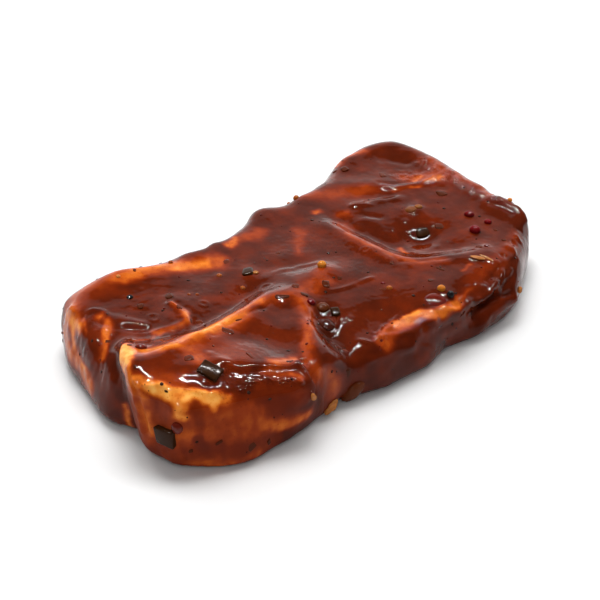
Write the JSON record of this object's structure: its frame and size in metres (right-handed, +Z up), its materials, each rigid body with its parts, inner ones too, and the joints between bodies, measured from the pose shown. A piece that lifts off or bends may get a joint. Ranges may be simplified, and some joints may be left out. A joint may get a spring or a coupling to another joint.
{
  "type": "marinated pork neck steak",
  "caption": "Thick boneless pork neck steak in a glossy dark red marinade, with fat seams, herbs, pepper and mustard seeds, lying flat.",
  "frame": {"origin": "centre of the steak's box on the surface that it lies on", "axes": "+X along the slice from its split end to its broad end, +Y away from the thick front lobe, +Z up"},
  "size_m": [0.1532, 0.0974, 0.0265],
  "materials": {
    "marinated_meat": "wet, sticky red-brown marinade over pork, thick and dark in the hollows, thin and orange over the fat"
  },
  "bodies": {
    "root": {"steak": "marinated_meat"}
  },
  "joints": []
}
